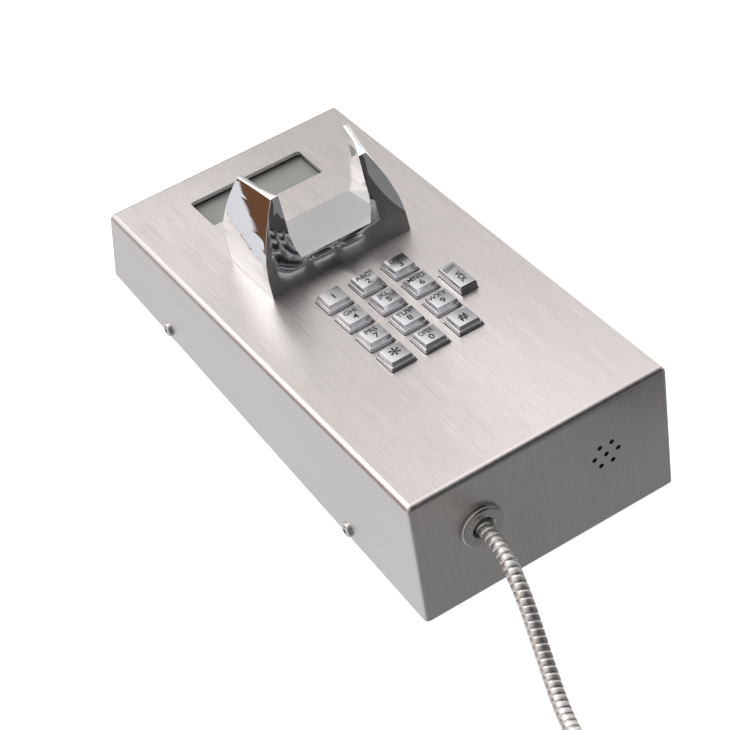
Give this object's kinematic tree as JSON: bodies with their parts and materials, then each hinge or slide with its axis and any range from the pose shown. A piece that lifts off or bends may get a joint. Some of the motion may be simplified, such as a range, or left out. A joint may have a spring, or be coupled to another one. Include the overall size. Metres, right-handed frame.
{
  "type": "payphone",
  "caption": "Compact wedge-shaped stainless wall payphone with sloping face, display window, chrome handset cradle, metal keypad, volume key and armoured handset cord.",
  "frame": {"origin": "centre of the four wall-fixing holes, on the rear face that lies against the wall", "axes": "+X to the user's right, +Y up the wall towards the display end, +Z out of the wall; the phone lies on its back with its face up"},
  "size_m": [0.1821, 0.614, 0.1036],
  "materials": {
    "brushed_sheet": "brushed 304 stainless sheet, grain along the long side",
    "plate_steel": "plain stainless plate",
    "fastener": "machined stainless",
    "cradle_chrome": "polished chrome plate on a zinc casting",
    "key_metal": "satin plated zinc with black legends",
    "window_clear": "clear polycarbonate",
    "lcd_face": "grey-green reflective display, off",
    "inner_metal": "dark passivated steel",
    "board_green": "green circuit board",
    "dark_rubber": "black rubber",
    "inner_plastic": "black moulded plastic",
    "armour_hose": "interlocked stainless armour hose, polished by use",
    "gland_steel": "satin stainless",
    "handset_black": "black impact-resistant plastic, low gloss"
  },
  "bodies": {
    "phone": {"back_plate": "plate_steel", "board_screw_1": "fastener", "board_screw_2": "fastener", "board_screw_3": "fastener", "board_screw_4": "fastener", "capacitor": "inner_plastic", "clinch_nut_1": "fastener", "clinch_nut_2": "fastener", "clinch_nut_3": "fastener", "clinch_nut_4": "fastener", "cord_anchor": "gland_steel", "cord_coil": "armour_hose", "cord_gland": "gland_steel", "cord_lead": "armour_hose", "cord_run": "armour_hose", "cradle": "cradle_chrome", "cradle_nut_1": "fastener", "cradle_nut_2": "fastener", "gland_nut": "gland_steel", "hook_switch_board": "board_green", "housing_shell": "brushed_sheet", "keypad_board": "board_green", "keypad_frame": "inner_plastic", "keypad_membrane": "dark_rubber", "lcd_bezel": "inner_metal", "lcd_board": "board_green", "lcd_glass": "lcd_face", "line_transformer": "inner_metal", "main_board": "board_green", "side_screw_1": "fastener", "side_screw_2": "fastener", "side_screw_3": "fastener", "side_screw_4": "fastener", "speaker_cone": "dark_rubber", "speaker_frame": "inner_plastic", "speaker_magnet": "inner_metal", "terminal_block": "inner_plastic", "window_gasket": "dark_rubber", "window_lens": "window_clear"},
    "button_1": {"key_1": "key_metal"},
    "button_2": {"key_2": "key_metal"},
    "button_3": {"key_3": "key_metal"},
    "button_4": {"key_4": "key_metal"},
    "button_5": {"key_5": "key_metal"},
    "button_6": {"key_6": "key_metal"},
    "button_7": {"key_7": "key_metal"},
    "button_8": {"key_8": "key_metal"},
    "button_9": {"key_9": "key_metal"},
    "button_star": {"key_star": "key_metal"},
    "button_0": {"key_0": "key_metal"},
    "button_hash": {"key_hash": "key_metal"},
    "volume_button": {"volume_key": "key_metal"},
    "handset": {"handset_shell": "handset_black", "ear_cap": "handset_black", "mouth_cap": "handset_black", "microphone": "inner_plastic", "receiver": "inner_plastic", "handset_magnet": "inner_metal", "handset_ferrule": "gland_steel"}
  },
  "joints": [
    {"name": "key_1_press", "type": "slide", "parent": "phone", "child": "button_1", "axis": [0, -0.0801, -0.9968], "range_m": [0, 0.0012], "stiffness_N_per_m": 600, "springref_m": -0.0012},
    {"name": "key_2_press", "type": "slide", "parent": "phone", "child": "button_2", "axis": [0, -0.0801, -0.9968], "range_m": [0, 0.0012], "stiffness_N_per_m": 600, "springref_m": -0.0012},
    {"name": "key_3_press", "type": "slide", "parent": "phone", "child": "button_3", "axis": [0, -0.0801, -0.9968], "range_m": [0, 0.0012], "stiffness_N_per_m": 600, "springref_m": -0.0012},
    {"name": "key_4_press", "type": "slide", "parent": "phone", "child": "button_4", "axis": [0, -0.0801, -0.9968], "range_m": [0, 0.0012], "stiffness_N_per_m": 600, "springref_m": -0.0012},
    {"name": "key_5_press", "type": "slide", "parent": "phone", "child": "button_5", "axis": [0, -0.0801, -0.9968], "range_m": [0, 0.0012], "stiffness_N_per_m": 600, "springref_m": -0.0012},
    {"name": "key_6_press", "type": "slide", "parent": "phone", "child": "button_6", "axis": [0, -0.0801, -0.9968], "range_m": [0, 0.0012], "stiffness_N_per_m": 600, "springref_m": -0.0012},
    {"name": "key_7_press", "type": "slide", "parent": "phone", "child": "button_7", "axis": [0, -0.0801, -0.9968], "range_m": [0, 0.0012], "stiffness_N_per_m": 600, "springref_m": -0.0012},
    {"name": "key_8_press", "type": "slide", "parent": "phone", "child": "button_8", "axis": [0, -0.0801, -0.9968], "range_m": [0, 0.0012], "stiffness_N_per_m": 600, "springref_m": -0.0012},
    {"name": "key_9_press", "type": "slide", "parent": "phone", "child": "button_9", "axis": [0, -0.0801, -0.9968], "range_m": [0, 0.0012], "stiffness_N_per_m": 600, "springref_m": -0.0012},
    {"name": "key_star_press", "type": "slide", "parent": "phone", "child": "button_star", "axis": [0, -0.0801, -0.9968], "range_m": [0, 0.0012], "stiffness_N_per_m": 600, "springref_m": -0.0012},
    {"name": "key_0_press", "type": "slide", "parent": "phone", "child": "button_0", "axis": [0, -0.0801, -0.9968], "range_m": [0, 0.0012], "stiffness_N_per_m": 600, "springref_m": -0.0012},
    {"name": "key_hash_press", "type": "slide", "parent": "phone", "child": "button_hash", "axis": [0, -0.0801, -0.9968], "range_m": [0, 0.0012], "stiffness_N_per_m": 600, "springref_m": -0.0012},
    {"name": "volume_key_press", "type": "slide", "parent": "phone", "child": "volume_button", "axis": [0, -0.0801, -0.9968], "range_m": [0, 0.0012], "stiffness_N_per_m": 600, "springref_m": -0.0012},
    {"name": "handset_lift", "type": "slide", "parent": "phone", "child": "handset", "axis": [0, 0, 1], "range_m": [0, 0.05], "deforming": ["cord_lead"]}
  ]
}
